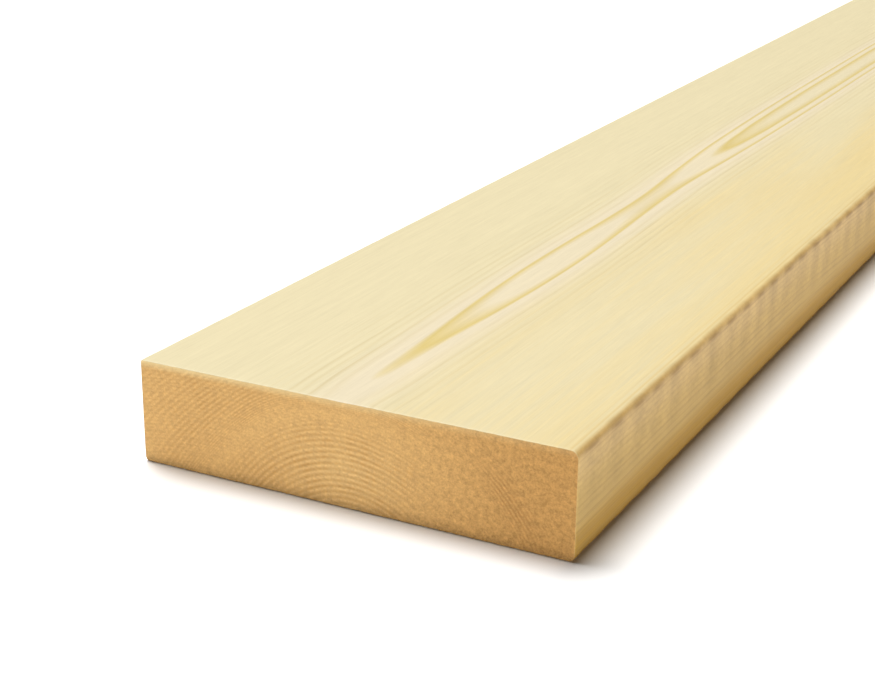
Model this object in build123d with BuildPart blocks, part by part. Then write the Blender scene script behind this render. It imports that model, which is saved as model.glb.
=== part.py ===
from build123d import *
import os

# A planed softwood plank lying flat: one sawn piece, with its length along Y.
# The origin is the middle of the underside. Units are millimetres.

# Driving dimensions
plank_width = 195.0
plank_thickness = 45.0
plank_length = 1800.0
end_break = 0.5

# The right edge is well eased; the left edge is crisper, most of all along the top.
right_top_radius = 3.5
right_bottom_radius = 3.0
left_bottom_radius = 2.0
left_top_radius = 1.0

os.makedirs("parts", exist_ok=True)

# The planed section is a rectangle with its four arrises eased along the whole length.
# Both ends are square cross-cuts, with only the sharp rim of the cut taken off.
with BuildPart() as plank:
    with BuildSketch(Plane.XZ):
        with Locations((0, plank_thickness / 2)):
            Rectangle(plank_width, plank_thickness)
        corners = vertices().sort_by(Axis.X)
        left_bottom, left_top = corners[:2].sort_by(Axis.Y)
        right_bottom, right_top = corners[2:].sort_by(Axis.Y)
        fillet(left_bottom, radius=left_bottom_radius)
        fillet(left_top, radius=left_top_radius)
        fillet(right_bottom, radius=right_bottom_radius)
        fillet(right_top, radius=right_top_radius)
    extrude(amount=plank_length / 2, both=True)
    end_faces = faces().filter_by(Axis.Y)
    chamfer(end_faces.edges(), length=end_break)

plank.part.label = "plank"
export_step(plank.part, "parts/plank.step")
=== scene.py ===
import math

import bmesh
import bpy
import numpy as np
from mathutils import Matrix, Vector, noise


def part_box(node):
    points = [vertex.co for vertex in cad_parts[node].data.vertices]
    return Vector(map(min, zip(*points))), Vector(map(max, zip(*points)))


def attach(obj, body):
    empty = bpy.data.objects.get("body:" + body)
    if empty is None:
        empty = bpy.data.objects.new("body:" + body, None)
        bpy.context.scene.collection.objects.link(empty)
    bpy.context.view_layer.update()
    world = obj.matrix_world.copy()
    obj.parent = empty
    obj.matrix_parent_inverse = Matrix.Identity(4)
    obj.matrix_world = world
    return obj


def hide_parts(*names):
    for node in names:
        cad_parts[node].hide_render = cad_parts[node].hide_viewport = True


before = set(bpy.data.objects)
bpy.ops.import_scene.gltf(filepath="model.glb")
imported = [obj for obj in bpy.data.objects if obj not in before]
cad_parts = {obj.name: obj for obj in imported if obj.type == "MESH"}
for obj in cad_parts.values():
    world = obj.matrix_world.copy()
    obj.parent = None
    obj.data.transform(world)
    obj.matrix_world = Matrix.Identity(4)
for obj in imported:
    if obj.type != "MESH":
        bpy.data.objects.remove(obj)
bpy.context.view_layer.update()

# The plank's own box, in millimetres. The near end is the one that faces the camera.
MM = 0.001
plank_low, plank_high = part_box("plank")
WIDTH = (plank_high.x - plank_low.x) / MM
THICKNESS = (plank_high.z - plank_low.z) / MM
LENGTH = (plank_high.y - plank_low.y) / MM
HALF_WIDTH = WIDTH / 2
HALF_THICKNESS = THICKNESS / 2
HALF_LENGTH = LENGTH / 2

# Camera, in metres from the middle of the near end's lower edge, and degrees
CAMERA_FROM_END = Vector((0.3120, -0.5257, 0.2918))
CAMERA_YAW = -27.39
CAMERA_PITCH = 20.22
CAMERA_ROLL = 0.56
FOCAL_LENGTH_PX = 1711.0
IMAGE_WIDTH_PX = 875
SENSOR_MM = 36.0
NEAREST_SEEN = 0.01

# Light: a dim even sky, a soft light from overhead, a little to the left and behind the end,
# and a low fill from the camera's side. A surface that faces up gets the full light from them.
WORLD_STRENGTH = 0.05
WORLD_WARMTH = (1.0, 0.76, 0.42, 1.0)
KEY_STRENGTH = 5.48
KEY_ANGLE = 39.5
KEY_FROM = Vector((-0.332, 0.228, 1.0))
FILL_STRENGTH = 2.55
FILL_ANGLE = 1.0
FILL_FROM = Vector((0.65, -0.73, 0.012))
FULL_LIGHT = 1.72
FLOOR_WHITE = 0.86
FLOOR_REACH = 12.0
FLOOR_GAP = 0.05 * MM

# Section: the eased arrises, as in the source, and the broken rim of the saw cut, in millimetres
RIGHT_TOP_RADIUS = 3.5
RIGHT_BOTTOM_RADIUS = 3.0
LEFT_BOTTOM_RADIUS = 2.0
LEFT_TOP_RADIUS = 1.0
END_BREAK = 0.5

# The broken rim's steps: how far each is inset from the section, and how far behind the end face.
# Over the rim's length the end's fray fades out, and so does a share of its relief.
RIM_STEPS = ((0.17, 0.20), (0.02, 0.55), (0.0, 1.1), (0.0, 2.0))
RIM_LENGTH = 3.0
RIM_RELIEF_SHARE = 0.35

# Mesh spacing, in millimetres
CAP_SPACING = 0.75
STATION_SPACING = 4.6
FACE_SPACING = 4.6
ARRIS_STEPS = 8
NEAR_ARRIS_STEPS = (0.7, 1.5, 2.6, 4.4)

# Relief of the sawn ends, in millimetres: soft early wood, saw marks, torn fibres and the frayed rim
RING_RELIEF = 0.10
SAW_MARK_RELIEF = 0.03
FINE_TEAR_RELIEF = 0.06
COARSE_TEAR_RELIEF = 0.05
RIM_FRAY = 0.10
LOW_RIM_FRAY = 0.30
LOW_RIM_HEIGHT = 6.0

# Noise in the relief: its cells per millimetre, and an offset in cells that sets it apart
SAW_WANDER_NOISE = (0.03, 3.0)
FINE_TEAR_NOISE = (0.55, 11.0)
COARSE_TEAR_NOISE = (0.11, 23.0)
FINE_FRAY_NOISE = (0.9, 5.0)
COARSE_FRAY_NOISE = (0.33, 17.0)
WAVER_NOISE = (1.0, 31.0)
COARSE_FRAY_SHARE = 0.6

# How far apart, in millimetres, the noise is taken for the two ends' faces and for their rims
FACES_APART = 40.0
RIMS_APART = 50.0

# The saw blade's centre, seen from the near end, and the pitch of its marks, in millimetres.
# The marks wander by so many radians.
BLADE_X = -60.0
BLADE_Z = -190.0
SAW_MARK_PITCH = 3.1
SAW_MARK_WANDER = 2.0
SAW_LINE_PITCH = SAW_MARK_PITCH / 2
SAW_LINE_WANDER = 2.5

# The planer's marks along the narrow edges, in millimetres. The drift, in radians, makes them uneven.
CHATTER_PITCH = 22.5
CHATTER_START = 7.8
CHATTER_DRIFT = 0.64
DRIFT_START = 13.0
DRIFT_PITCH = 131.0
CHATTER_DIP = 0.03

# The arrises waver by a share of their radius, with the planer's marks and unevenly besides.
# The marks come sooner on the right arrises than on the left ones, by a lead in millimetres each.
ARRIS_WAVER = 0.08
CHATTER_LEAD = 4.0
UNEVEN_WAVER = 0.8
UNEVEN_LENGTH = 60.0
ARRISES_APART = 3.0

# Growth rings: the pith runs below the plank, and the rings crowd near the top face
PITH_X = 1.5
PITH_Z = -33.0
PITH_LEAN = -0.0022
RING_RATE = 0.4222
CROWD_RINGS = 4.78
CROWD_RADIUS = 76.38
CROWD_WIDTH = 5.56
OUTER_RATE = 0.16
OUTER_RADIUS = 85.9
OUTER_BLEND = 3.0
RING_OFFSET = 4.331
LEFT_ROUND = 49.0

# How the stem bows towards the top face: each line is a height, a place along and a length, in mm
BOW_LEVEL = 0.581
BOW = (0.677, 421.6, 109.5)
SWELLING = (0.709, 203.6, 113.1)
END_DIP = (0.325, 0.0, 18.25)
FAR_FALL = (0.9, 1400.0, 140.0)

# How the stem turns left and then right: each line is a width, a place along and a length, in mm
LEFT_TURN = (2.2, 350.0, 70.0)
RIGHT_TURN = (4.0, 1050.0, 220.0)

# A ring's darkness from its inner edge, 0, to its outer edge, 1
LATE_WOOD_PLACES = (0.0, 0.08, 0.50, 0.90, 1.0)
LATE_WOOD_VALUES = (0.5, 0.0, 0.0, 1.0, 0.5)
FAINTEST_YEAR = 0.4
YEAR_SEED = 0.37
SOFT_RING_START = 0.65
SOFT_RING_SHARE = 0.8

# From here on, a pair is a range over which something sets in or changes. A fray is how many
# millimetres noise moves such a range, and a share, shade or strength runs from 0 to 1.

# How far a surface turns outward, lengthwise or up to count as a narrow edge, end, top or sole
EDGE_FACING = (0.16, 0.86)
END_FACING = (0.80, 0.95)
TOP_FACING = (0.7, 0.95)
SOLE_FACING = (0.90, 0.99)

# The flame: the ring whose dark edge the top face just grazes, and the fine lines beside it
FLAME_RING = 29.85
FLAME_EDGE = (FLAME_RING + 0.15, FLAME_RING + 0.6)
FINE_RING = FLAME_RING + 2.5
FINE_SPREAD = 4.0
FINE_STRENGTH = 0.60
HINT_STRENGTH = 0.08
PATCH_EDGE = (-0.5, 0.5)
PATCHY_FACE = (0.4, 1.0)
PATCHY_EDGE = (0.3, 0.6)
PALE_RING = FLAME_RING + 0.2
PALE_SPREAD = 1.6
PALE_SHARE = 0.8

# The rings on the ends: clear inside the flame's ring and weaker outside it, most of all at the far
# left. They fade to the right, and a band of them is almost blank.
INNER_EDGE = (FLAME_RING - 3.0, FLAME_RING + 2.0)
INNER_STRENGTH = 0.80
OUTER_STRENGTH = 0.65
FAR_LEFT_STRENGTH = 0.35
FAR_LEFT = (-95.0, -68.0)
RIGHT_FADE = (5.0, 55.0)
RIGHT_STRENGTH = 0.15
BLANK_RING = 24.0
BLANK_SPREAD = 5.0
BLANK_SHARE = 0.9
FAINT_SPOT_EDGE = (-0.4, 0.3)
FAINTEST_SPOT = 0.5
CUT_YEARS = (0.7, 1.1)

# Noise that runs outward from the pith: cells per radian, per ring and per millimetre along
RAY_CELLS = (46.0, 0.14, 0.05)
RAY_DETAIL = 2.0
RAY_ROUGHNESS = 0.6

# A slanting group of clear rings near the end's right, and a dark smudge beside them
CLEAR_RIGHT_X = 82.0
CLEAR_RIGHT_Z = 18.0
CLEAR_RIGHT_WIDTH = 6.5
CLEAR_RIGHT_HEIGHT = 16.0
CLEAR_RIGHT_SLANT = 0.62
CLEAR_RIGHT_FRAY = 4.0
SMUDGE_X = 71.8
SMUDGE_Z = 22.0
SMUDGE_WIDTH = 0.9
SMUDGE_HEIGHT = 2.2
SMUDGE_SLANT = 0.6
SMUDGE_SHARE = 0.55

# The faces grow warmer to the right, by so much a millimetre, where clouds allow
WARM_ACROSS = 0.006
WARM_FACE = (-0.05, 0.75)

# Where the colours change, in millimetres: the ends' darker right and glowing heart, and the upper
# and lower parts of the narrow edges
RIGHT_OF_END = (-5.0, 95.0)
RIGHT_OF_END_FRAY = 8.0
HEART_Z = 15.0
HEART_WIDTH = 34.0
HEART_HEIGHT = 17.0
HIGH_ON_EDGE = (26.0, 40.0)
HIGH_FRAY = 4.0
LOW_ON_EDGE = (8.0, 17.0)
LOW_FRAY = 2.0

# The narrow edges' upper part, which is blotchy where the lower part is lined
UPPER_EDGE = (10.0, 32.0)
UPPER_FRAY = 6.0
UPPER_LINES = 0.35
EDGE_LINES = (0.26, 0.03)
BLOTCH_SHADE = 0.18
PORE_SHADE = 0.26
CHATTER_SHADE = 0.06

# Darker places: painted shade along the foot of the sides and on the ends' upright rims, and the late wood
PAINTED_SHADE_FOOT = (0.0, 5.5)
PAINTED_SHADE_FOOT_FRAY = 1.5
FOOT_PAINTED_SHADE = 0.25
UPRIGHT_FACING = 0.70
UPRIGHT_SPREAD = 0.2
UPRIGHT_RIM_PAINTED_SHADE = 0.22
LATE_SHADE = 0.05

# How much of the ends' unevenness is left where their rings are clear
CLEAR_PART_TEAR = 0.62

# Painted contact shade along the foot, which is lower on the ends, in millimetres
PAINTED_CONTACT_SHADE = (0.2, 3.8)
PAINTED_CONTACT_SHADE_FRAY = 0.8
PAINTED_CONTACT_SHADE_END_DROP = 2.0
PAINTED_CONTACT_SHADE_SHARE = 0.7

# The ends' painted highlight along the top rim, in millimetres, which fades from the left to the right
TOP_RIM_HIGHLIGHT = (THICKNESS - 4.0, THICKNESS + 1.0)
TOP_RIM_HIGHLIGHT_FRAY = 0.6
TOP_RIM_HIGHLIGHT_ACROSS = (-95.0, 95.0)
TOP_RIM_HIGHLIGHT_SHARES = (0.68, 0.15)

# The planer's lines on the top beside the right arris, and a painted shade line just below the arris
PLANER_LINE_X = HALF_WIDTH - RIGHT_TOP_RADIUS - 0.1
FAINT_PLANER_LINE_X = HALF_WIDTH - 6.4
PLANER_LINE_WIDTH = 0.5
PLANER_LINE_SHARE = 0.35
FAINT_PLANER_LINE = 0.4
ARRIS_SHADE_LINE_Z = THICKNESS - RIGHT_TOP_RADIUS + 0.8
ARRIS_SHADE_LINE_WANDER = 0.8
ARRIS_SHADE_LINE_HEIGHT = 0.9
ARRIS_SHADE_LINE_RISE = (-0.7, 0.9)
ARRIS_SHADE_LINE_SHARES = (0.10, 0.58)

# Surface: the bump's height in millimetres, and what late wood, fibres and saw cuts add to roughness
BUMP_STRENGTH = 0.6
BUMP_HEIGHT = 0.08
LATE_BUMP = 0.5
SHEEN = 0.35
ROUGHNESS = 0.58
LATE_ROUGHNESS = -0.08
FIBRE_ROUGHNESS = 0.04
CUT_ROUGHNESS = 0.22


def lit(red, green, blue):
    """The surface colour that shows as these screen values, 0 to 255, in the full light."""
    shares = np.array([red, green, blue]) / 255.0
    linear = ((shares + 0.055) / 1.055) ** 2.4
    return (*(linear / FULL_LIGHT).tolist(), 1.0)


# Colours: the broad faces, the narrow edges and the saw-cut ends. The ends' painted rim highlight is
# only mixed in by a share, so it may be lighter than 255.
WHITE = (1.0, 1.0, 1.0, 1.0)
FACE_EARLY = lit(245, 231, 186)
FACE_WARM = lit(246, 222, 158)
FACE_PALE = lit(249, 234, 202)
FACE_FINE = lit(232, 210, 156)
FACE_LATE = lit(242, 217, 134)
EDGE_TOP = lit(230, 192, 123)
EDGE_EARLY = lit(224, 185, 105)
EDGE_LATE = lit(196, 153, 76)
EDGE_LOW = lit(213, 166, 70)
# Painted contact shade: the dark brown along the foot, where the plank meets the floor
CONTACT_SHADE_BROWN = lit(160, 100, 0)
END_EARLY = lit(245, 195, 121)
END_HEART = lit(252, 207, 135)
END_LATE = lit(220, 168, 95)
END_RIGHT = lit(218, 165, 92)
END_RIGHT_LATE = lit(198, 144, 77)
# Painted highlight along the ends' top rim
END_RIM_HIGHLIGHT = lit(278, 257, 194)
# The smudge's colour, and that of the painted shade line below the arrises
SMUDGE_AND_SHADE_LINE = lit(170, 126, 66)


class Grain:
    """A noise in the wood: cells per mm across, along and up, and a shift in cells that sets it apart."""

    def __init__(self, across, along, up, detail=2.0, roughness=0.5, shift=(0.0, 0.0, 0.0)):
        self.cells = (across, along, up)
        self.detail = detail
        self.roughness = roughness
        self.shift = shift


# Noises that run with the wood. The two wobbles move the rings, by so many millimetres.
WIDE_WOBBLE = Grain(1 / 30, 1 / 260, 1 / 30)
FINE_WOBBLE = Grain(1 / 9, 1 / 150, 1 / 9, shift=(0.0, 40.0, 0.0))
WIDE_WOBBLE_SIZE = 0.7
FINE_WOBBLE_SIZE = 0.07
PATCHES = Grain(0.035, 0.006, 0.035, shift=(0.0, 5.0, 0.0))
FAINT_SPOTS = Grain(0.08, 0.01, 0.08)
PORES = Grain(0.1, 0.22, 0.45, 3.0, 0.7)
EDGE_LINING = Grain(0.01, 0.006, 1.1, 3.0, 0.7)
BLOTCHES = Grain(0.01, 0.034, 0.03, 1.0)

# The noises that several things share, by name
GRAINS = {
    "streaks": Grain(0.5, 0.008, 0.5, 3.0, 0.6),
    "fibres": Grain(1.6, 0.030, 1.6, 3.0, 0.65),
    "clouds": Grain(0.022, 0.0032, 0.022, shift=(0.0, 0.0, 9.0)),
    "mottle": Grain(0.30, 0.02, 0.30, 4.0, 0.65),
    "speckle": Grain(0.45, 0.05, 0.45, 2.0, 0.6),
    "grit": Grain(1.1, 0.10, 1.1, 3.0, 0.75),
    "shade_line_wander": Grain(0.01, 0.025, 0.01, 3.0, 0.6, shift=(0.0, 0.0, 7.0)),
}

# How much of each noise goes into a sum. Rays, saw lines and chatter are worked out by the material.
PLANED_UNEVENNESS = {"streaks": 0.07, "fibres": 0.12}
WHOLE_UNEVENNESS = {"grit": 0.04, "clouds": 0.010}
CUT_UNEVENNESS = {"mottle": 0.26, "saw_lines": 0.01, "speckle": 0.46, "grit": 0.50, "rays": 0.10}
BROKEN_RINGS = {"mottle": 1.2, "speckle": 0.8, "grit": 0.6, "rays": 1.0}
WARM_CLOUDS = {"clouds": 0.5, "streaks": 0.25}
ARRIS_SHADE_LINE_MAKERS = {"chatter": 0.8, "mottle": 0.8, "shade_line_wander": 0.4}
PLANED_BUMPS = {"fibres": 0.35, "streaks": 0.3}
CUT_BUMPS = {"mottle": 1.2, "saw_lines": 0.5}


class Wire:
    """A number in a material's node tree, which plain arithmetic turns into Math nodes."""

    def __init__(self, tree, socket):
        self.tree = tree
        self.socket = socket

    def math(self, operation, *others):
        """A Math node's result for this wire and any others, which may be plain numbers."""
        node = self.tree.nodes.new("ShaderNodeMath")
        node.operation = operation
        for place, value in enumerate((self, *others)):
            if isinstance(value, Wire):
                self.tree.links.new(value.socket, node.inputs[place])
            else:
                node.inputs[place].default_value = value
        return Wire(self.tree, node.outputs[0])

    def __add__(self, other):
        return self.math("ADD", other)

    def __mul__(self, other):
        return self.math("MULTIPLY", other)

    def __sub__(self, other):
        return self.math("SUBTRACT", other)

    def __truediv__(self, other):
        return self.math("DIVIDE", other)

    def __rsub__(self, other):
        return self * -1.0 + other

    __radd__ = __add__
    __rmul__ = __mul__


def call(value, operation, function):
    """The function of a number or an array, or the Math node's operation on a wire."""
    return value.math(operation) if isinstance(value, Wire) else function(value)


def sine(value):
    return call(value, "SINE", np.sin)


def tanh(value):
    return call(value, "TANH", np.tanh)


def root(value):
    return call(value, "SQRT", np.sqrt)


def bell(value):
    """1 at zero, falling off smoothly to both sides."""
    return call(value * value * -1.0, "EXPONENT", np.exp)


def at_most_zero(value):
    return value.math("MINIMUM", 0.0) if isinstance(value, Wire) else np.minimum(value, 0.0)


def change(along, height, place, length):
    """A smooth change from minus the height to the height, around a place along the plank."""
    return height * tanh((along - place) / length)


def swell(along, height, place, length):
    """A smooth swelling of the given height at a place along the plank."""
    return height * bell((along - place) / length)


def stem_rise(along):
    """How far the pith bows up towards the top face, in mm, at a distance from the near end."""
    bow = BOW_LEVEL + change(along, *BOW)
    fall = FAR_FALL[0] + change(along, *FAR_FALL)
    return bow + swell(along, *SWELLING) - swell(along, *END_DIP) - fall


def stem_drift(along):
    """How far the stem's centre wanders sideways, in mm."""
    left = LEFT_TURN[0] + change(along, *LEFT_TURN)
    right = RIGHT_TURN[0] + change(along, *RIGHT_TURN)
    return right - left


def ring_count(x, along, z):
    """How many years the wood at a point is from the pith. Whole numbers are the dark ring edges.

    Works on arrays and on a material's wires alike, so the relief and the colour agree. The rings
    are round, but far to the left they flatten out."""
    across = x - PITH_X - PITH_LEAN * (z * z) - stem_drift(along)
    above = z - PITH_Z - stem_rise(along)
    spread = at_most_zero(across + LEFT_ROUND)
    radius = root(across * across - spread * spread + above * above)
    crowding = CROWD_RINGS * tanh((radius - CROWD_RADIUS) / CROWD_WIDTH)
    past = radius - OUTER_RADIUS
    outer = OUTER_RATE / 2 * (root(past * past + OUTER_BLEND * OUTER_BLEND) + past)
    return RING_RATE * radius + crowding + outer - RING_OFFSET


def chatter(along):
    """The planer's marks along the narrow edges: 1 in the middle of each mark, -1 between two."""
    drift = CHATTER_DRIFT * sine((along - DRIFT_START) * (math.tau / DRIFT_PITCH))
    return sine((along - CHATTER_START) * (math.tau / CHATTER_PITCH) - drift)


def blade_distance(x, z):
    """How far a point of an end is from the middle of the saw blade, in mm."""
    across = x - BLADE_X
    up = z - BLADE_Z
    return root(across * across + up * up)


def noise_values(points, scale, offset):
    """Smooth noise, about -1 to 1, at points (n, 3) in mm."""
    moved = np.asarray(points) * scale + offset
    return np.array([noise.noise(Vector(p)) for p in moved])


def late_wood(count):
    """0 in the pale early wood of a ring, rising to 1 at its dark outer edge."""
    return np.interp(count - np.floor(count), LATE_WOOD_PLACES, LATE_WOOD_VALUES)


def arris_radius(right, up):
    """The arris radius at a place in the section, blended between the four corners at -1 and 1."""
    lower = LEFT_BOTTOM_RADIUS + (RIGHT_BOTTOM_RADIUS - LEFT_BOTTOM_RADIUS) * (right + 1.0) / 2.0
    upper = LEFT_TOP_RADIUS + (RIGHT_TOP_RADIUS - LEFT_TOP_RADIUS) * (right + 1.0) / 2.0
    return lower + (upper - lower) * (up + 1.0) / 2.0


def rails():
    """The section's points, going round from the middle of the lower right arris.

    Each rail is (a, b, c, s): x = a (W/2 - r) + r c and z = T/2 + b (T/2 - r) + r s, so that an
    arris of any radius r leaves the faces flat."""
    turn = np.linspace(0.0, math.pi / 2, ARRIS_STEPS + 1)
    points = []
    for quarter in range(4):
        c, s = math.cos(quarter * math.pi / 2), math.sin(quarter * math.pi / 2)
        size = THICKNESS if quarter % 2 == 0 else WIDTH
        length = size - arris_radius(c + s, s - c) - arris_radius(c - s, s + c)
        for place in face_places(length):
            points.append((c + s * place, s - c * place, c, s))
        for angle in turn + quarter * math.pi / 2:
            points.append((c - s, s + c, math.cos(angle), math.sin(angle)))
    return np.roll(np.array(points), ARRIS_STEPS // 2 + 1, axis=0)


def face_places(length):
    """Places across a flat face, from 1 to -1 without its two ends, and closer together by the arrises."""
    first = np.array(NEAR_ARRIS_STEPS)
    count = round((length - 2 * first[-1]) / FACE_SPACING)
    middle = np.linspace(first[-1], length - first[-1], count + 1)[1:-1]
    steps = np.concatenate([first, middle, length - first[::-1]])
    return 1.0 - 2.0 * steps / length


def cap_grid():
    """An end's even grid with its corners bent round the arrises: points (n, 2), border and quads."""
    half_x = HALF_WIDTH - END_BREAK
    half_z = HALF_THICKNESS - END_BREAK
    across = np.linspace(-half_x, half_x, round(2 * half_x / CAP_SPACING) + 1)
    up = np.linspace(-half_z, half_z, round(2 * half_z / CAP_SPACING) + 1)
    x, z = np.meshgrid(across, up)
    radius = arris_radius(np.sign(x), np.sign(z)) - END_BREAK
    past_x = np.abs(x) - (half_x - radius)
    past_z = np.abs(z) - (half_z - radius)
    larger = np.maximum(past_x, past_z)
    smaller = np.minimum(past_x, past_z)
    corner = smaller > 0.0
    angle = np.where(corner, smaller / np.where(corner, larger, 1.0), 0.0) * math.pi / 4
    wide = past_x >= past_z
    bent_x = larger * np.where(wide, np.cos(angle), np.sin(angle))
    bent_z = larger * np.where(wide, np.sin(angle), np.cos(angle))
    x = np.where(corner, np.sign(x) * (half_x - radius + bent_x), x)
    z = np.where(corner, np.sign(z) * (half_z - radius + bent_z), z)
    index = np.arange(x.size).reshape(x.shape)
    border = np.concatenate([index[:-1, -1], index[-1, :0:-1], index[:0:-1, 0], index[0, :-1]])
    quads = np.stack([index[:-1, :-1], index[:-1, 1:], index[1:, 1:], index[1:, :-1]], axis=-1)
    return np.stack([x.ravel(), z.ravel() + HALF_THICKNESS], axis=1), border, quads.reshape(-1, 4)


def outward(flat):
    """For points (n, 2) near the section's outline: the outward direction, arris centre and radius."""
    middle = np.array([0.0, HALF_THICKNESS])
    side = np.sign(flat - middle)
    radius = arris_radius(side[:, 0], side[:, 1])
    reach = np.array([HALF_WIDTH, HALF_THICKNESS]) - radius[:, None]
    centre = np.clip(flat - middle, -reach, reach) + middle
    away = flat - centre
    return away / np.linalg.norm(away, axis=1, keepdims=True), centre, radius


def places_round(flat):
    """Each loop point's share of the way round, from 0."""
    steps = np.linalg.norm(np.roll(flat, -1, axis=0) - flat, axis=1)
    return np.concatenate([[0.0], np.cumsum(steps)[:-1]]) / steps.sum()


def strip(one, two):
    """Quads between two loops with as many points."""
    return np.stack([one, np.roll(one, -1), np.roll(two, -1), two], axis=1).tolist()


def zipped_strip(one, places_one, two, places_two):
    """Triangles between two loops that have their own numbers of points."""
    faces = []
    ends_one = np.append(places_one[1:], 1.0)
    ends_two = np.append(places_two[1:], 1.0)
    i = j = 0
    while i < len(one) or j < len(two):
        here = one[i % len(one)], two[j % len(two)]
        if j == len(two) or (i < len(one) and ends_one[i] <= ends_two[j]):
            i += 1
            faces.append([here[0], one[i % len(one)], here[1]])
        else:
            j += 1
            faces.append([here[0], two[j % len(two)], here[1]])
    return faces


def spots_on_end(flat, apart):
    """Places (n, 3) for the noise at an end's points (n, 2), set apart from other noise in millimetres."""
    return np.stack([flat[:, 0], np.full(len(flat), apart), flat[:, 1]], axis=1)


def saw_relief(flat, along, end):
    """How deep the cross-cut leaves the wood at an end, in mm: early wood lies lower, with saw marks."""
    x, z = flat.T
    spots = spots_on_end(flat, FACES_APART * end)
    rings = RING_RELIEF * (1.0 - late_wood(ring_count(x, np.full(len(x), along), z)))
    turn = blade_distance(x, z) * math.tau / SAW_MARK_PITCH
    wander = SAW_MARK_WANDER * noise_values(spots, *SAW_WANDER_NOISE)
    marks = SAW_MARK_RELIEF * (1.0 + np.sin(turn + wander))
    fine = FINE_TEAR_RELIEF * (1.0 + noise_values(spots, *FINE_TEAR_NOISE))
    coarse = COARSE_TEAR_RELIEF * (1.0 + noise_values(spots, *COARSE_TEAR_NOISE))
    return rings + marks + fine + coarse


def rim_fray(flat, end):
    """How much the saw frayed the cut's rim, in mm: most along the bottom, where the blade left."""
    spots = spots_on_end(flat, RIMS_APART * end)
    low_side = np.clip(1.0 - flat[:, 1] / LOW_RIM_HEIGHT, 0.0, 1.0)
    fine = np.abs(noise_values(spots, *FINE_FRAY_NOISE))
    coarse = COARSE_FRAY_SHARE * np.abs(noise_values(spots, *COARSE_FRAY_NOISE))
    return (fine + coarse) * (RIM_FRAY + LOW_RIM_FRAY * low_side)


def long_stations():
    """Distances along the plank for the section's loops, between the two rims."""
    span = LENGTH - 2 * RIM_LENGTH
    return np.linspace(RIM_LENGTH, LENGTH - RIM_LENGTH, round(span / STATION_SPACING) + 1)


def arris_radii(rail, along):
    """Each rail's arris radius at a distance along: the planer's chatter makes the arrises waver."""
    a, b = rail[:, 0], rail[:, 1]
    corner = np.stack([a, np.full(len(a), along / UNEVEN_LENGTH), ARRISES_APART * b], axis=1)
    uneven = noise_values(corner, *WAVER_NOISE)
    waver = chatter(along + CHATTER_LEAD * a) + UNEVEN_WAVER * uneven
    return arris_radius(a, b) * (1.0 + ARRIS_WAVER * waver)


class Skin:
    """The mesh as it grows: its points in mm and its faces."""

    def __init__(self):
        self.points = []
        self.faces = []

    def add(self, flat, y):
        """Adds the section's points (n, 2) at a distance y, and gives their numbers."""
        first = sum(len(p) for p in self.points)
        y = np.broadcast_to(y, len(flat))
        self.points.append(np.stack([flat[:, 0], y, flat[:, 1]], axis=1))
        return np.arange(first, first + len(flat))

    def section_of(self, numbers):
        """The points with these numbers, (n, 2), seen from the end."""
        return np.concatenate(self.points)[numbers][:, (0, 2)]


def add_length(skin):
    """The planed faces: the section's loops at each station. Gives the first loop and the last."""
    rail = rails()
    a, b, c, s = rail.T
    loops = []
    for along in long_stations():
        radius = arris_radii(rail, along)
        dip = CHATTER_DIP * (1.0 + chatter(along)) * np.abs(c)
        x = a * (HALF_WIDTH - radius) + (radius - dip) * c
        z = HALF_THICKNESS + b * (HALF_THICKNESS - radius) + radius * s
        loops.append(skin.add(np.stack([x, z], axis=1), along - HALF_LENGTH))
    for one, two in zip(loops, loops[1:]):
        skin.faces += strip(one, two)
    return loops[0], loops[-1]


def add_end(skin, end, length_loop):
    """A sawn end, -1 near or 1 far: its face, its broken rim and the strip to the planed faces."""
    grid, border, quads = cap_grid()
    normal, centre, arris = outward(grid[border])
    from_near = 0.0 if end < 0 else LENGTH
    face_y = end * HALF_LENGTH
    depth = saw_relief(grid, from_near, end)
    cap = skin.add(grid, face_y - end * depth)
    skin.faces += (quads + cap[0]).tolist()
    fray = rim_fray(grid[border], end)
    loop = cap[border]
    for inset, back in RIM_STEPS:
        fade = 1.0 - back / RIM_LENGTH
        reach = arris - inset - fray * fade
        flat = centre + normal * reach[:, None]
        ring = skin.add(flat, face_y - end * (back + RIM_RELIEF_SHARE * depth[border] * fade))
        skin.faces += strip(loop, ring)
        loop = ring
    places = places_round(skin.section_of(length_loop))
    skin.faces += zipped_strip(loop, places_round(flat), length_loop, places)


def plank_mesh():
    """The dressed plank as one closed skin inside the CAD solid's box."""
    skin = Skin()
    near_loop, far_loop = add_length(skin)
    add_end(skin, -1, near_loop)
    add_end(skin, 1, far_loop)
    mesh = bpy.data.meshes.new("sawn_plank")
    mesh.from_pydata((np.concatenate(skin.points) * MM).tolist(), [], skin.faces)
    mesh.validate()
    return mesh


def separate(tree, vector):
    """A vector's three parts."""
    node = tree.nodes.new("ShaderNodeSeparateXYZ")
    tree.links.new(vector, node.inputs[0])
    return [Wire(tree, output) for output in node.outputs]


def noise_wire(x, y, z, detail, roughness):
    """Noise from -1 to 1, at a place given in noise cells."""
    tree = x.tree
    combine = tree.nodes.new("ShaderNodeCombineXYZ")
    for part, socket in zip((x, y, z), combine.inputs):
        tree.links.new(part.socket, socket)
    node = tree.nodes.new("ShaderNodeTexNoise")
    node.inputs["Scale"].default_value = 1.0
    node.inputs["Detail"].default_value = detail
    node.inputs["Roughness"].default_value = roughness
    tree.links.new(combine.outputs[0], node.inputs["Vector"])
    return Wire(tree, node.outputs["Fac"]) * 2.0 - 1.0


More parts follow.
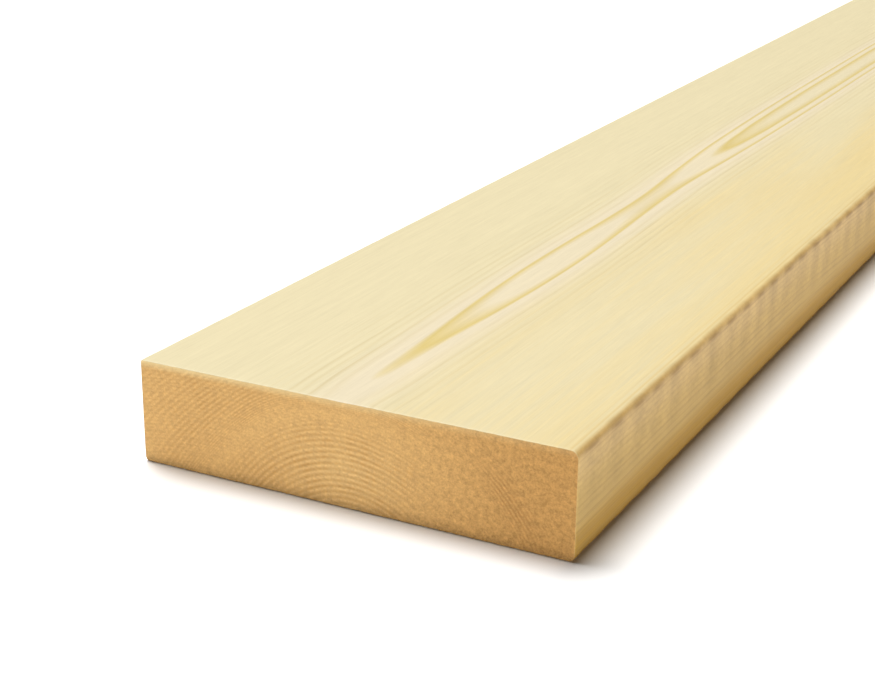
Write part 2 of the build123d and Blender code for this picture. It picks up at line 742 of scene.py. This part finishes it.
def rise(value, low, high):
    """0 below low and 1 above high, with a smooth rise between."""
    node = value.tree.nodes.new("ShaderNodeMapRange")
    node.interpolation_type = "SMOOTHSTEP"
    value.tree.links.new(value.socket, node.inputs["Value"])
    node.inputs["From Min"].default_value = low
    node.inputs["From Max"].default_value = high
    return Wire(value.tree, node.outputs["Result"])


def between(share, one, two):
    """A number between one and two."""
    return share * (two - one) + one


def mix(share, one, two):
    """A colour between one and two, which are colours or colour sockets."""
    node = share.tree.nodes.new("ShaderNodeMix")
    node.data_type = "RGBA"
    inputs = {s.identifier: s for s in node.inputs}
    share.tree.links.new(share.socket, inputs["Factor_Float"])
    for value, socket in ((one, inputs["A_Color"]), (two, inputs["B_Color"])):
        if isinstance(value, bpy.types.NodeSocket):
            share.tree.links.new(value, socket)
        else:
            socket.default_value = value
    return next(s for s in node.outputs if s.identifier == "Result_Color")


def brighten(colour, factor):
    """The colour times a number, which may vary over the surface."""
    node = factor.tree.nodes.new("ShaderNodeVectorMath")
    node.operation = "SCALE"
    factor.tree.links.new(colour, node.inputs[0])
    factor.tree.links.new(factor.socket, node.inputs["Scale"])
    return node.outputs[0]


def late_wood_wire(count):
    """The shader's twin of late_wood."""
    tree = count.tree
    node = tree.nodes.new("ShaderNodeValToRGB")
    stops = node.color_ramp.elements
    for place, value in zip(LATE_WOOD_PLACES[1:-1], LATE_WOOD_VALUES[1:-1]):
        stops.new(place).color = (value, value, value, 1.0)
    stops[0].color = (LATE_WOOD_VALUES[0],) * 3 + (1.0,)
    stops[-1].color = (LATE_WOOD_VALUES[-1],) * 3 + (1.0,)
    tree.links.new(count.math("FRACT").socket, node.inputs["Fac"])
    return Wire(tree, node.outputs["Color"])


def year_strength(count):
    """Some years end in a darker line than others: a number for each year, 1 at most."""
    node = count.tree.nodes.new("ShaderNodeTexWhiteNoise")
    node.noise_dimensions = "1D"
    count.tree.links.new((count.math("FLOOR") + YEAR_SEED).socket, node.inputs["W"])
    return between(Wire(count.tree, node.outputs["Value"]), FAINTEST_YEAR, 1.0)


class Wood:
    """A point of the wood in the material: where it is, which way it faces, its ring and its noises."""

    def __init__(self, tree):
        place = tree.nodes.new("ShaderNodeTexCoord")
        self.x, self.y, self.z = [part * (1.0 / MM) for part in separate(tree, place.outputs["Object"])]
        self.along = self.y + HALF_LENGTH

        across, lengthwise, self.facing_up = separate(tree, place.outputs["Normal"])
        self.facing_across = across.math("ABSOLUTE")
        self.facing_along = lengthwise.math("ABSOLUTE")
        self.on_edge = rise(self.facing_across, *EDGE_FACING)
        self.on_end = rise(self.facing_along, *END_FACING)
        self.off_sole = 1.0 - rise(self.facing_up.math("ABSOLUTE"), *SOLE_FACING)

        moved_x = self.x + self.noise(WIDE_WOBBLE) * WIDE_WOBBLE_SIZE
        moved_z = self.z + self.noise(FINE_WOBBLE) * FINE_WOBBLE_SIZE
        self.count = ring_count(moved_x, self.along, moved_z)
        self.years = year_strength(self.count)
        self.flame = 1.0 - rise(self.count, *FLAME_EDGE)

        self.noises = {name: self.noise(grain) for name, grain in GRAINS.items()}
        self.noises["rays"] = self.ray_noise()
        self.noises["saw_lines"] = self.saw_lines()
        self.noises["chatter"] = chatter(self.along)
        self.patches = rise(self.noise(PATCHES), *PATCH_EDGE)

        mottle = self.noises["mottle"]
        self.clear_part = 1.0 - rise(self.x, *RIGHT_FADE)
        self.right_part = rise(self.x + mottle * RIGHT_OF_END_FRAY, *RIGHT_OF_END)
        self.upper_edge = rise(self.z + mottle * UPPER_FRAY, *UPPER_EDGE) * self.on_edge

    def noise(self, grain):
        """A grain's noise here, from -1 to 1."""
        parts = zip((self.x, self.y, self.z), grain.cells, grain.shift)
        x, y, z = [part * cells + shift for part, cells, shift in parts]
        return noise_wire(x, y, z, grain.detail, grain.roughness)

    def ray_noise(self):
        """Noise in rays that run outward from the pith."""
        angle = (self.x - PITH_X).math("ARCTAN2", self.z - PITH_Z)
        parts = zip((angle, self.count, self.y), RAY_CELLS)
        return noise_wire(*[part * cells for part, cells in parts], RAY_DETAIL, RAY_ROUGHNESS)

    def saw_lines(self):
        """The saw blade's arcs over the ends, from -1 to 1."""
        turn = blade_distance(self.x, self.z) * (math.tau / SAW_LINE_PITCH)
        return sine(turn + self.noises["mottle"] * SAW_LINE_WANDER)

    def sum_of(self, shares):
        """The named noises added up, each times its share."""
        return sum(self.noises[name] * share for name, share in shares.items())

    def colour_by_place(self, face, edge, cut):
        """One colour for the broad faces, one for the narrow edges and one for the sawn ends."""
        return mix(self.on_end, mix(self.on_edge, face, edge), cut)


def planed_lines(wood):
    """How dark the ring lines are where the wood is planed: full in the flame, and fine beside it."""
    beside = bell((wood.count - FINE_RING) / FINE_SPREAD)
    fine = (beside * FINE_STRENGTH + HINT_STRENGTH) * wood.years * between(wood.patches, *PATCHY_FACE)
    on_face = wood.flame + (1.0 - wood.flame) * fine
    on_edge = wood.years * between(wood.patches, *PATCHY_EDGE)
    return between(wood.on_edge, on_face, on_edge)


def clear_right(wood):
    """A slanting group of clear rings near the end's right."""
    fray = wood.noises["speckle"] * CLEAR_RIGHT_FRAY
    past = wood.x + wood.z * CLEAR_RIGHT_SLANT + fray - CLEAR_RIGHT_X
    return bell(past / CLEAR_RIGHT_WIDTH) * bell((wood.z - CLEAR_RIGHT_Z) / CLEAR_RIGHT_HEIGHT)


def cut_lines(wood):
    """How dark the rings are on the sawn ends, where torn fibres break them up."""
    inner = 1.0 - rise(wood.count, *INNER_EDGE)
    outer_strength = between(rise(wood.x, *FAR_LEFT), FAR_LEFT_STRENGTH, OUTER_STRENGTH)
    rings = between(wood.clear_part, RIGHT_STRENGTH, 1.0) * between(inner, outer_strength, INNER_STRENGTH)
    blank = 1.0 - bell((wood.count - BLANK_RING) / BLANK_SPREAD) * BLANK_SHARE
    faint = between(rise(wood.noise(FAINT_SPOTS), *FAINT_SPOT_EDGE), FAINTEST_SPOT, 1.0)
    broken = 1.0 + wood.sum_of(BROKEN_RINGS)
    return (rings + clear_right(wood)) * blank * faint * between(wood.years, *CUT_YEARS) * broken


def late_share(wood):
    """How dark the late wood is here: sharp lines on the planed wood, and soft ones on the ends."""
    soft_rings = sine((wood.count - SOFT_RING_START) * math.tau) * 0.5 + 0.5
    rings = between(wood.on_end * SOFT_RING_SHARE, late_wood_wire(wood.count), soft_rings)
    return rings * between(wood.on_end, planed_lines(wood), cut_lines(wood))


def early_colour(wood):
    """The pale early wood: warmer to the right on the faces, and darker downward on the narrow edges."""
    streaks = wood.noises["streaks"]
    warm = rise(wood.x * WARM_ACROSS + wood.sum_of(WARM_CLOUDS), *WARM_FACE)
    pale = bell((wood.count - PALE_RING) / PALE_SPREAD) * PALE_SHARE
    face = mix(pale, mix(warm, FACE_EARLY, FACE_WARM), FACE_PALE)
    high = rise(wood.z + streaks * HIGH_FRAY, *HIGH_ON_EDGE)
    low = wood.on_edge * (1.0 - rise(wood.z + streaks * LOW_FRAY, *LOW_ON_EDGE))
    edge = mix(low, mix(high, EDGE_EARLY, EDGE_TOP), EDGE_LOW)
    heart = bell((wood.x - PITH_X) / HEART_WIDTH) * bell((wood.z - HEART_Z) / HEART_HEIGHT)
    cut = mix(wood.right_part, mix(heart, END_EARLY, END_HEART), END_RIGHT)
    return wood.colour_by_place(face, edge, cut)


def late_colour(wood):
    """The dark late wood."""
    face = mix(wood.flame, FACE_FINE, FACE_LATE)
    cut = mix(wood.right_part, END_LATE, END_RIGHT_LATE)
    return wood.colour_by_place(face, EDGE_LATE, cut)


def edge_unevenness(wood):
    """The planer's ripples, pores and blotches on the narrow edges' upper part, and lines on the lower."""
    marks = wood.noises["chatter"] + wood.noises["mottle"]
    ripples = wood.noise(PORES) * PORE_SHADE - marks * CHATTER_SHADE
    blotches = wood.noise(BLOTCHES) * BLOTCH_SHADE
    lines = wood.noise(EDGE_LINING) * between(wood.upper_edge, *EDGE_LINES)
    return wood.upper_edge * (ripples + blotches) + wood.on_edge * lines


def brightness(wood, late):
    """How much lighter or darker than its plain colours the wood is here, around 1, with painted shade
    along the foot and on the ends' upright rims.
    """
    planed = wood.sum_of(PLANED_UNEVENNESS) * between(wood.upper_edge, 1.0, UPPER_LINES)
    torn = wood.sum_of(CUT_UNEVENNESS) * between(wood.clear_part, 1.0, CLEAR_PART_TEAR)
    uneven = wood.sum_of(WHOLE_UNEVENNESS) + planed + wood.on_end * torn + edge_unevenness(wood)
    # Painted shade: the sides and ends darken towards the floor
    foot = wood.off_sole * (1.0 - rise(wood.z + wood.noises["mottle"] * PAINTED_SHADE_FOOT_FRAY, *PAINTED_SHADE_FOOT))
    # Painted shade on the ends' upright rims, which dims the light they catch
    half_across = bell((wood.facing_across - UPRIGHT_FACING) / UPRIGHT_SPREAD)
    half_along = bell((wood.facing_along - UPRIGHT_FACING) / UPRIGHT_SPREAD)
    shade = late * LATE_SHADE + foot * FOOT_PAINTED_SHADE + half_across * half_along * UPRIGHT_RIM_PAINTED_SHADE
    return 1.0 + uneven - shade


def planer_lines(wood):
    """Two lines that the planer left on the top face, along the right arris."""
    line = bell((wood.x - PLANER_LINE_X) / PLANER_LINE_WIDTH)
    faint = bell((wood.x - FAINT_PLANER_LINE_X) / PLANER_LINE_WIDTH) * FAINT_PLANER_LINE
    return (line + faint) * rise(wood.facing_up, *TOP_FACING) * PLANER_LINE_SHARE


def arris_shade_line(wood):
    """Painted shade: a row of dark dashes just below the upper arrises, one for each of the planer's
    marks.
    """
    below_arris = bell((wood.z - wood.noises["shade_line_wander"] * ARRIS_SHADE_LINE_WANDER - ARRIS_SHADE_LINE_Z) / ARRIS_SHADE_LINE_HEIGHT)
    depth = rise(wood.sum_of(ARRIS_SHADE_LINE_MAKERS), *ARRIS_SHADE_LINE_RISE)
    return wood.on_edge * below_arris * between(depth, *ARRIS_SHADE_LINE_SHARES)


def smudge(wood):
    """A small dark smudge on the ends, to the right."""
    line = bell((wood.x - wood.z * SMUDGE_SLANT - SMUDGE_X) / SMUDGE_WIDTH)
    return wood.on_end * line * bell((wood.z - SMUDGE_Z) / SMUDGE_HEIGHT) * SMUDGE_SHARE


def marks_and_painted_light(wood, colour):
    """The colour with painted contact shade along the foot, the ends' painted highlight along the top rim,
    the planer's lines, a painted shade line of dashes below the arrises and the smudge.
    """
    # Painted contact shade: dark brown along the foot, lower on the ends
    contact_shade_level = wood.z + wood.noises["grit"] * PAINTED_CONTACT_SHADE_FRAY + wood.on_end * PAINTED_CONTACT_SHADE_END_DROP
    contact_shade = wood.off_sole * (1.0 - rise(contact_shade_level, *PAINTED_CONTACT_SHADE)) * PAINTED_CONTACT_SHADE_SHARE
    colour = mix(contact_shade, colour, CONTACT_SHADE_BROWN)
    # Painted highlight along the ends' top rim, fading from left to right
    top_rim_highlight = rise(wood.z + wood.noises["speckle"] * TOP_RIM_HIGHLIGHT_FRAY, *TOP_RIM_HIGHLIGHT)
    highlight_share = between(rise(wood.x, *TOP_RIM_HIGHLIGHT_ACROSS), *TOP_RIM_HIGHLIGHT_SHARES)
    colour = mix(wood.on_end * top_rim_highlight * highlight_share, colour, END_RIM_HIGHLIGHT)
    colour = mix(planer_lines(wood), colour, EDGE_EARLY)
    # The smudge is a dark mark; the dashes below the arrises are painted shade
    return mix(arris_shade_line(wood) + smudge(wood), colour, SMUDGE_AND_SHADE_LINE)


def relief(wood, late):
    """The fine relief's normal, as a socket."""
    tree = late.tree
    height = late * LATE_BUMP + wood.sum_of(PLANED_BUMPS) + wood.on_end * wood.sum_of(CUT_BUMPS)
    bump = tree.nodes.new("ShaderNodeBump")
    bump.inputs["Strength"].default_value = BUMP_STRENGTH
    bump.inputs["Distance"].default_value = BUMP_HEIGHT * MM
    tree.links.new(height.socket, bump.inputs["Height"])
    return bump.outputs[0]


def softwood():
    """Planed spruce in the round: the same growth rings colour the faces, the edges and the saw cuts."""
    material = bpy.data.materials.new("planed_softwood")
    material.use_nodes = True
    tree = material.node_tree
    tree.nodes.clear()
    wood = Wood(tree)
    late = late_share(wood)
    plain = mix(late, early_colour(wood), late_colour(wood))
    colour = marks_and_painted_light(wood, brighten(plain, brightness(wood, late)))
    uneven = wood.noises["fibres"] * FIBRE_ROUGHNESS + wood.on_end * CUT_ROUGHNESS
    roughness = ROUGHNESS + late * LATE_ROUGHNESS + uneven

    shader = tree.nodes.new("ShaderNodeBsdfPrincipled")
    shader.inputs["Specular IOR Level"].default_value = SHEEN
    tree.links.new(colour, shader.inputs["Base Color"])
    tree.links.new(roughness.socket, shader.inputs["Roughness"])
    tree.links.new(relief(wood, late), shader.inputs["Normal"])
    output = tree.nodes.new("ShaderNodeOutputMaterial")
    tree.links.new(shader.outputs[0], output.inputs["Surface"])
    return material


def make_world():
    """An even sky that lights dimly and warmly, and looks white."""
    world = bpy.data.worlds.new("studio")
    bpy.context.scene.world = world
    world.use_nodes = True
    tree = world.node_tree
    background = tree.nodes["Background"]
    seen = Wire(tree, tree.nodes.new("ShaderNodeLightPath").outputs["Is Camera Ray"])
    tree.links.new(mix(seen, WORLD_WARMTH, WHITE), background.inputs["Color"])
    tree.links.new(between(seen, WORLD_STRENGTH, 1.0).socket, background.inputs["Strength"])


def make_floor():
    """A plain white floor that takes the plank's shadow."""
    mesh = bpy.data.meshes.new("floor")
    corners = [(-1, -1), (1, -1), (1, 1), (-1, 1)]
    points = [(x * FLOOR_REACH, y * FLOOR_REACH, -FLOOR_GAP) for x, y in corners]
    mesh.from_pydata(points, [], [(0, 1, 2, 3)])
    floor = bpy.data.objects.new("floor", mesh)
    bpy.context.scene.collection.objects.link(floor)
    material = bpy.data.materials.new("studio_floor")
    material.use_nodes = True
    tree = material.node_tree
    tree.nodes.clear()
    paper = tree.nodes.new("ShaderNodeBsdfDiffuse")
    paper.inputs["Color"].default_value = (FLOOR_WHITE, FLOOR_WHITE, FLOOR_WHITE, 1.0)
    output = tree.nodes.new("ShaderNodeOutputMaterial")
    tree.links.new(paper.outputs[0], output.inputs["Surface"])
    mesh.materials.append(material)


def make_light(name, strength, angle, comes_from):
    """A far lamp that looks so many degrees wide and shines from a direction."""
    light = bpy.data.lights.new(name, "SUN")
    light.energy = strength
    light.angle = math.radians(angle)
    lamp = bpy.data.objects.new(name, light)
    lamp.rotation_euler = comes_from.to_track_quat("Z", "Y").to_euler()
    bpy.context.scene.collection.objects.link(lamp)


def make_camera():
    """The photograph's view: a plain lens with no shift, solved from the plank's own edges."""
    yaw, pitch, roll = (math.radians(a) for a in (CAMERA_YAW, CAMERA_PITCH, CAMERA_ROLL))
    ahead = Vector((math.sin(yaw) * math.cos(pitch), math.cos(yaw) * math.cos(pitch), -math.sin(pitch)))
    level = Vector((math.cos(yaw), -math.sin(yaw), 0.0))
    upright = level.cross(ahead)
    right = level * math.cos(roll) + upright * math.sin(roll)
    up = upright * math.cos(roll) - level * math.sin(roll)
    turn = Matrix((right, up, -ahead)).transposed()
    lens = bpy.data.cameras.new("camera")
    lens.sensor_width = SENSOR_MM
    lens.lens = FOCAL_LENGTH_PX / IMAGE_WIDTH_PX * SENSOR_MM
    lens.clip_start = NEAREST_SEEN
    camera = bpy.data.objects.new("camera", lens)
    near_end = Vector((0.0, plank_low.y, 0.0))
    camera.matrix_world = Matrix.Translation(near_end + CAMERA_FROM_END) @ turn.to_4x4()
    bpy.context.scene.collection.objects.link(camera)
    bpy.context.scene.camera = camera


def face_out(mesh):
    """Turns every face outward."""
    work = bmesh.new()
    work.from_mesh(mesh)
    bmesh.ops.recalc_face_normals(work, faces=work.faces)
    work.to_mesh(mesh)
    work.free()


def make_plank():
    """The dressed plank, in place of the plain one."""
    mesh = plank_mesh()
    mesh.materials.append(softwood())
    for polygon in mesh.polygons:
        polygon.use_smooth = True
    plank = bpy.data.objects.new("dressed_plank", mesh)
    bpy.context.scene.collection.objects.link(plank)
    face_out(mesh)
    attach(plank, "root")
    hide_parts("plank")


make_camera()
make_world()
make_floor()
make_light("key", KEY_STRENGTH, KEY_ANGLE, KEY_FROM)
make_light("fill", FILL_STRENGTH, FILL_ANGLE, FILL_FROM)
make_plank()
bpy.context.scene.view_settings.view_transform = "Standard"
